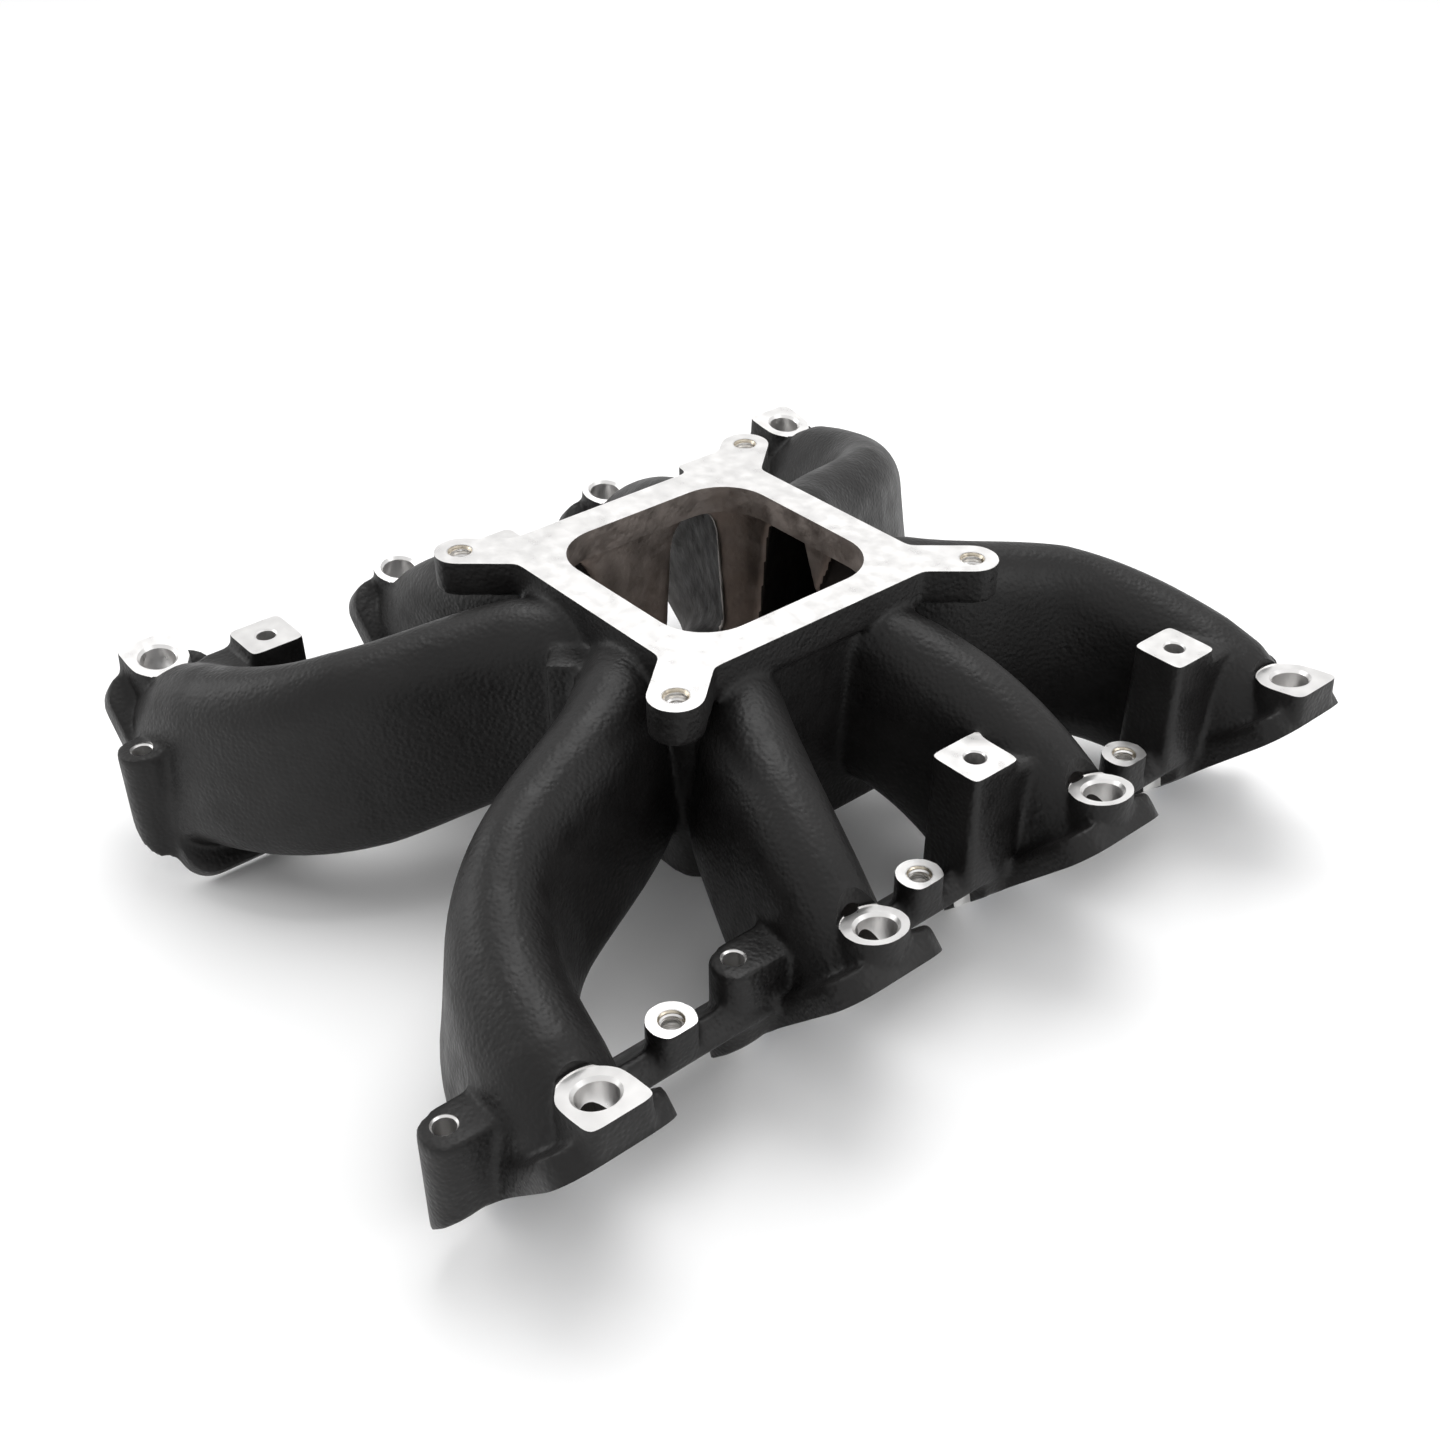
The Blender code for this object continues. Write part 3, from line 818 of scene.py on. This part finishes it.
def bolt_bosses():
    """Ears at the ends, a low boss and two tall square posts, each tied to its runner."""
    parts = []
    for index, (y, drop, side) in enumerate(BOLT_BOSSES):
        top = CARB_FACE_Z - drop
        is_tall = index in (2, 3)
        if is_tall:
            outline = rounded_box(TALL_PAD_HALF, TALL_PAD_HALF, TALL_PAD_CORNER)
            spread = [(BOLT_X + px * POST_FLARE, y + py * POST_FLARE) for px, py in outline]
            foot = [(px, py, face_plane(px) + POST_FOOT) for px, py in spread]
            head = [(BOLT_X + px, y + py, top + 0.002) for px, py in outline]
            parts.append(loft("post", [foot, head]))
            rib_top = top - TALL_RIB_DROP
            half = TALL_RIB_HALF
        else:
            outline = rounded_box(EAR_HALF, EAR_HALF, EAR_CORNER)
            outline = [(EAR_X + px, y + py) for px, py in outline]
            parts.append(prism(outline, face_plane, top + 0.0004))
            rib_top = top + 0.0002
            half = EAR_HALF
        near, far = sorted((y, y + side * RIB_REACH))
        inner, outer = BOLT_X - half, EAR_X + half
        rib = [(inner, near), (outer, near), (outer, far), (inner, far)]
        parts.append(prism(rib, lambda x: face_plane(x) + RIB_FOOT, rib_top))
    return parts


def rail_bosses():
    parts = []
    for place in RAIL_PLACES:
        outline = [(min(x, RAIL_BOSS_FLAT), y) for x, y in circle(0.0, 0.0, RAIL_BOSS_RADIUS)]
        outline = [(place.x + x, place.y + y) for x, y in outline]
        parts.append(prism(outline, lambda x: face_plane(x) + RAIL_BOSS_FOOT, RAIL_TOP + 0.0015))
    return parts


def passages(sizes, raw, painted_shade):
    """The hollow inside: eight passages and the chamber that they open into; the passages take a darker
    material of painted shade.
    """
    runs = [runner.passage(sizes.wall, raw) for runner in right_bank_runners()]
    half_x = PLENUM_HIGH.x - CHAMBER_SIDE_INSET
    half_y = FLANGE_HALF - CHAMBER_END_INSET
    outline = rounded_box(half_x, half_y, CHAMBER_CORNER)
    chamber = prism(outline, PLENUM_FLOOR + CHAMBER_FLOOR, CARB_FACE_Z - CHAMBER_ROOF)
    hollow = gathered("hollow", with_twins(runs) + [chamber])
    melt(hollow, HOLLOW_GRAIN, HOLLOW_ROUNDS, HOLLOW_FACES, raw)
    hollow.data.materials.append(painted_shade)
    # Faces beyond the chamber, down the runners, get the painted shade material; the chamber keeps bare
    # metal.
    for face in hollow.data.polygons:
        centre = face.center
        outside = max(abs(centre.x) - half_x, abs(centre.y) - half_y) > 0.0015
        face.material_index = 1 if outside else 0
    return hollow


def injector_reliefs(material):
    """Cast pockets that keep the runner's roof clear of each injector face."""
    parts = []
    for number, centre in enumerate(PORT_CENTRES):
        outline = injector_pad(number in (0, 3), 0.0024)
        relief = loft("relief", [[(x, y, z) for x, y in outline] for z in (0.0004, 0.016)], material)
        relief.data.transform(injector_matrix(centre.y))
        parts.append(relief)
    return gathered("reliefs", with_twins(parts))


def face_cutters(material):
    """Blocks that mill the carburettor face, the pads and the two head faces."""
    slab = prism(rounded_box(0.12, 0.12, 0.01), CARB_FACE_Z, CARB_FACE_Z + 0.02, material)
    parts = []
    first, last = PORT_CENTRES[0].y - 0.06, PORT_CENTRES[3].y + 0.06
    face = [(first, -0.08), (last, -0.08), (last, 0.08), (first, 0.08)]
    parts.append(face_prism(face, -0.03, 0.0, material))
    for number, centre in enumerate(PORT_CENTRES):
        outline = injector_pad(number in (0, 3), 0.0014)
        pad = loft("pad", [[(x, y, z) for x, y in outline] for z in (0.0, 0.003)], material)
        pad.data.transform(injector_matrix(centre.y))
        parts.append(pad)
    for y, drop, _ in BOLT_BOSSES[2:4]:
        top = CARB_FACE_Z - drop
        parts.append(prism(circle(BOLT_X, y, POST_CUTTER), top, top + 0.01, material))
    for place in RAIL_PLACES:
        parts.append(prism(circle(place.x, place.y, RAIL_CUTTER), RAIL_TOP, RAIL_TOP + 0.006, material))
    return gathered("faces", with_twins(parts) + [slab])


def hole_cutters(material):
    """Drilled holes; the injector and bolt holes have a small chamfer at their mouth."""
    parts = []
    for centre in PORT_CENTRES:
        profile = [
            (INJECTOR_TIP_BORE, -0.030),
            (INJECTOR_TIP_BORE, -0.013),
            (INJECTOR_BORE, -0.0125),
            (INJECTOR_BORE, -0.0012),
            (INJECTOR_CHAMFER, 0.0),
            (INJECTOR_CHAMFER, 0.004),
        ]
        parts.append(turned(profile, injector_matrix(centre.y), material))
    for y, drop, _ in BOLT_BOSSES:
        top = CARB_FACE_Z - drop
        mouth = BOLT_HOLE + BOLT_CHAMFER
        profile = [(BOLT_HOLE, -top - 0.02), (BOLT_HOLE, -BOLT_CHAMFER), (mouth, 0.0), (mouth, 0.004)]
        parts.append(turned(profile, Matrix.Translation((BOLT_X, y, top)), material))
    for place in RAIL_PLACES:
        profile = [(RAIL_LINER_HOLE, -RAIL_HOLE_DEPTH), (RAIL_LINER_HOLE, 0.004)]
        parts.append(turned(profile, Matrix.Translation((place.x, place.y, RAIL_TOP)), material))
    studs = []
    for place in STUD_PLACES:
        profile = [(STUD_LINER_HOLE, -0.03), (STUD_LINER_HOLE, 0.004)]
        studs.append(turned(profile, Matrix.Translation((place.x, place.y, CARB_FACE_Z)), material))
    return gathered("holes", with_twins(parts) + studs)


def seal_rings(name, inset, shallow, deep, material):
    """Rings round the ports of both banks, thinner than their grooves by the inset on each side."""
    outer_growth = LOBE_HALF_HEIGHT - PORT_HALF_HEIGHT - SEAL_LAND - inset
    inner_growth = outer_growth + 2 * inset - GROOVE_WIDTH
    parts = []
    for centre in PORT_CENTRES:
        loops = []
        for growth, depths in ((outer_growth, (shallow, deep)), (inner_growth, (deep, shallow))):
            section = runner_section(PORT_HALF_WIDTH + growth, PORT_HALF_HEIGHT + growth, PORT_TAPER)
            for depth in depths:
                loops.append([on_face(centre.y + a, s, depth) for a, s in section])
        parts.append(endless(name, loops, material))
    return gathered(name, with_twins(parts))


class BuildCasting(bpy.types.Operator):
    """Melts the casting's parts together, hollows it and machines its faces and holes"""

    bl_idname = "manifold.casting"
    bl_label = "Casting"

    def execute(self, context):
        sizes = context.scene.manifold_sizes
        colours = context.scene.manifold_colours
        coating, machined, raw = coating_finish(colours), machined_finish(colours), raw_finish(colours)
        banked = [runner.outside() for runner in right_bank_runners()]
        banked += web_and_lobes() + injector_bosses() + bolt_bosses() + rail_bosses()
        casting = gathered("casting", with_twins(banked) + plenum_parts() + carb_flange_parts())
        melt(casting, sizes.grain, sizes.fillet_rounds, sizes.outer_faces, coating)
        cut(casting, passages(sizes, raw, painted_passage_shade(colours)))
        opening = rounded_box(OPENING_HALF, OPENING_HALF, OPENING_CORNER, 12)
        cut(casting, prism(opening, CARB_FACE_Z - 0.02, CARB_FACE_Z + 0.01, raw))
        cut(casting, injector_reliefs(coating))
        cut(casting, face_cutters(machined))
        cut(casting, hole_cutters(machined))
        cut(casting, seal_rings("grooves", 0.0, -0.001, GROOVE_DEPTH, machined))
        shade_finished(casting)
        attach(casting, BODY)
        runners = [f"runner_{bank}{number}" for bank in "rl" for number in (1, 2, 3, 4)]
        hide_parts("carb_flange", "plenum", "head_flange_right", "head_flange_left", *runners)
        return {"FINISHED"}


# Threaded liners


def thread_tree(material):
    """A thread ridge repeated at every point of the mesh."""
    tree = bpy.data.node_groups.new("liner_thread", "GeometryNodeTree")
    face = tree.interface
    face.new_socket("Geometry", in_out="OUTPUT", socket_type="NodeSocketGeometry")
    face.new_socket("Geometry", in_out="INPUT", socket_type="NodeSocketGeometry")
    for name in ("Radius", "Ridge", "Turns", "Height"):
        face.new_socket(name, in_out="INPUT", socket_type="NodeSocketFloat")
    nodes, links = tree.nodes, tree.links
    given = nodes.new("NodeGroupInput").outputs
    spiral = nodes.new("GeometryNodeCurveSpiral")
    spiral.inputs["Resolution"].default_value = 28
    links.new(given["Turns"], spiral.inputs["Rotations"])
    links.new(given["Radius"], spiral.inputs["Start Radius"])
    links.new(given["Radius"], spiral.inputs["End Radius"])
    links.new(given["Height"], spiral.inputs["Height"])
    ridge = nodes.new("GeometryNodeCurvePrimitiveCircle")
    ridge.inputs["Resolution"].default_value = 4
    links.new(given["Ridge"], ridge.inputs["Radius"])
    sweep = nodes.new("GeometryNodeCurveToMesh")
    sweep.inputs["Fill Caps"].default_value = True
    links.new(spiral.outputs["Curve"], sweep.inputs["Curve"])
    links.new(ridge.outputs["Curve"], sweep.inputs["Profile Curve"])
    places = nodes.new("GeometryNodeInstanceOnPoints")
    links.new(given["Geometry"], places.inputs["Points"])
    links.new(sweep.outputs["Mesh"], places.inputs["Instance"])
    real = nodes.new("GeometryNodeRealizeInstances")
    links.new(places.outputs["Instances"], real.inputs["Geometry"])
    painted = nodes.new("GeometryNodeSetMaterial")
    painted.inputs["Material"].default_value = material
    links.new(real.outputs["Geometry"], painted.inputs["Geometry"])
    links.new(painted.outputs["Geometry"], nodes.new("NodeGroupOutput").inputs["Geometry"])
    return tree


def threads(name, feet, radius, length, pitch, material):
    """Thread ridges that stand on the given points."""
    result = new_object(name, feet, [])
    modifier = result.modifiers.new("thread", "NODES")
    modifier.node_group = thread_tree(material)
    values = {"Radius": radius, "Ridge": pitch * 0.5, "Turns": length / pitch, "Height": length}
    for item in modifier.node_group.interface.items_tree:
        if item.in_out == "INPUT" and item.name in values:
            modifier[item.identifier] = values[item.name]
    settle(result)
    return result


def liner(place, top, length, outer, inner, material, face):
    """A tube with a chamfered mouth, flush with the face it is set in."""
    mouth = inner + LINER_CHAMFER
    profile = [
        (outer, -length),
        (outer, -FLUSH_GAP),
        (mouth, -FLUSH_GAP),
        (inner, -0.0008),
        (inner, -length),
    ]
    steps = 40
    loops = [[(x, y, z) for x, y in circle(place.x, place.y, radius, steps)] for radius, z in profile]
    result = endless("liner", loops, material)
    result.data.materials.append(face)
    for polygon in result.data.polygons[steps : 2 * steps]:
        polygon.material_index = 1
    result.data.transform(Matrix.Translation((0.0, 0.0, top)))
    return result


class BuildLiners(bpy.types.Operator):
    """Makes the threaded liners of the stud holes and the fuel rail bosses"""

    bl_idname = "manifold.liners"
    bl_label = "Threaded liners"

    def execute(self, context):
        pitch = context.scene.manifold_sizes.thread_pitch
        colours = context.scene.manifold_colours
        material, face = thread_finish(colours), machined_finish(colours)
        rails = RAIL_PLACES + [HALF_TURN @ place for place in RAIL_PLACES]
        stud_nodes = [f"stud_liner_{number}" for number in (1, 2, 3, 4)]
        rail_nodes = [f"rail_liner_{bank}{number}" for bank in "rl" for number in (1, 2, 3)]
        sets = (
            ("stud_liners", STUD_PLACES, CARB_FACE_Z, STUD_THREAD, stud_nodes),
            ("rail_liners", rails, RAIL_TOP, RAIL_THREAD, rail_nodes),
        )
        for name, places, top, inner, nodes in sets:
            low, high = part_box(nodes[0])
            length = high[2] - low[2]
            outer = (high[0] - low[0]) / 2
            parts = [liner(place, top, length, outer, inner, material, face) for place in places]
            feet = [(place.x, place.y, top - length + pitch) for place in places]
            parts.append(threads("ridges", feet, inner, length - 2.2 * pitch, pitch, material))
            piece = gathered(name, parts)
            shade_finished(piece, 40.0)
            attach(piece, BODY)
            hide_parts(*nodes)
        return {"FINISHED"}


class BuildSeals(bpy.types.Operator):
    """Makes the moulded rubber ring round each port"""

    bl_idname = "manifold.seals"
    bl_label = "Port seals"

    def execute(self, context):
        material = seal_finish(context.scene.manifold_colours)
        piece = seal_rings("port_seals", 0.0003, 0.0002, 0.0020, material)
        shade_finished(piece)
        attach(piece, BODY)
        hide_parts(*[f"port_seal_{bank}{n}" for bank in "rl" for n in (1, 2, 3, 4)])
        return {"FINISHED"}


# Stage

CAMERA_LENS = 43.51
CAMERA_PLACE = Vector((0.44584, -0.36734, CARB_FACE_Z + 0.31990))
CAMERA_TURN = math.radians(50.37)
CAMERA_TILT = math.radians(34.41)
CAMERA_ROLL = math.radians(-0.59)


def area_light(name, place, size, watts):
    data = bpy.data.lights.new(name, "AREA")
    data.size = size
    data.energy = watts
    light = bpy.data.objects.new(name, data)
    light.location = place
    light.rotation_euler = (-Vector(place)).to_track_quat("-Z", "Y").to_euler()
    bpy.context.scene.collection.objects.link(light)


class BuildStage(bpy.types.Operator):
    """Makes a plain pale floor, soft studio lights and the camera"""

    bl_idname = "manifold.stage"
    bl_label = "Stage"

    def execute(self, context):
        scene = context.scene
        pale = Finish("floor", (0.90, 0.90, 0.90), 0.9, 0.0).material
        corners = [(-6, -6, 0), (6, -6, 0), (6, 6, 0), (-6, 6, 0)]
        floor = new_object("floor", corners, [(0, 1, 2, 3)], pale)
        floor.data.transform(Matrix.Translation((0.0, 0.0, CAD_LOW[2] - 0.0002)))
        world = bpy.data.worlds.new("studio")
        world.use_nodes = True
        world.node_tree.nodes["Background"].inputs["Color"].default_value = (1.0, 1.0, 1.0, 1.0)
        world.node_tree.nodes["Background"].inputs["Strength"].default_value = 0.85
        scene.world = world
        area_light("overhead", (-0.3, 0.5, 1.6), 1.2, 16.0)
        area_light("left_side", (-1.3, -0.9, 0.9), 0.9, 7.0)
        area_light("right_side", (1.4, 0.6, 0.8), 0.9, 5.0)
        scene.view_settings.view_transform = "Standard"

        flat = Vector((math.sin(CAMERA_TURN), -math.cos(CAMERA_TURN), 0.0))
        back = flat * math.cos(CAMERA_TILT) + Vector((0.0, 0.0, math.sin(CAMERA_TILT)))
        level = Vector((0, 0, 1)).cross(back).normalized()
        above = back.cross(level)
        right = level * math.cos(CAMERA_ROLL) + above * math.sin(CAMERA_ROLL)
        up = above * math.cos(CAMERA_ROLL) - level * math.sin(CAMERA_ROLL)
        data = bpy.data.cameras.new("camera")
        data.sensor_width = 36.0
        data.lens = CAMERA_LENS
        data.clip_start = 0.01
        camera = bpy.data.objects.new("camera", data)
        pose = Matrix((right, up, back)).transposed().to_4x4()
        pose.translation = CAMERA_PLACE
        camera.matrix_world = pose
        scene.collection.objects.link(camera)
        scene.camera = camera
        return {"FINISHED"}


OPERATORS = (BuildCasting, BuildLiners, BuildSeals, BuildStage)


class ManifoldPanel(bpy.types.Panel):
    """Lists the manifold's builders and their settings"""

    bl_idname = "VIEW3D_PT_manifold"
    bl_label = "Intake manifold"
    bl_space_type = "VIEW_3D"
    bl_region_type = "UI"
    bl_category = "Manifold"

    def draw(self, context):
        for operator in OPERATORS:
            self.layout.operator(operator.bl_idname)
        for group in (context.scene.manifold_sizes, context.scene.manifold_colours):
            for name in group.__annotations__:
                self.layout.prop(group, name)


CLASSES = (ManifoldSizes, ManifoldColours, *OPERATORS, ManifoldPanel)


def register():
    for item in CLASSES:
        bpy.utils.register_class(item)
    bpy.types.Scene.manifold_sizes = bpy.props.PointerProperty(type=ManifoldSizes)
    bpy.types.Scene.manifold_colours = bpy.props.PointerProperty(type=ManifoldColours)


def unregister():
    del bpy.types.Scene.manifold_colours
    del bpy.types.Scene.manifold_sizes
    for item in reversed(CLASSES):
        bpy.utils.unregister_class(item)


def main():
    register()
    bpy.ops.manifold.casting()
    bpy.ops.manifold.liners()
    bpy.ops.manifold.seals()
    bpy.ops.manifold.stage()


if __name__ == "__main__":
    main()
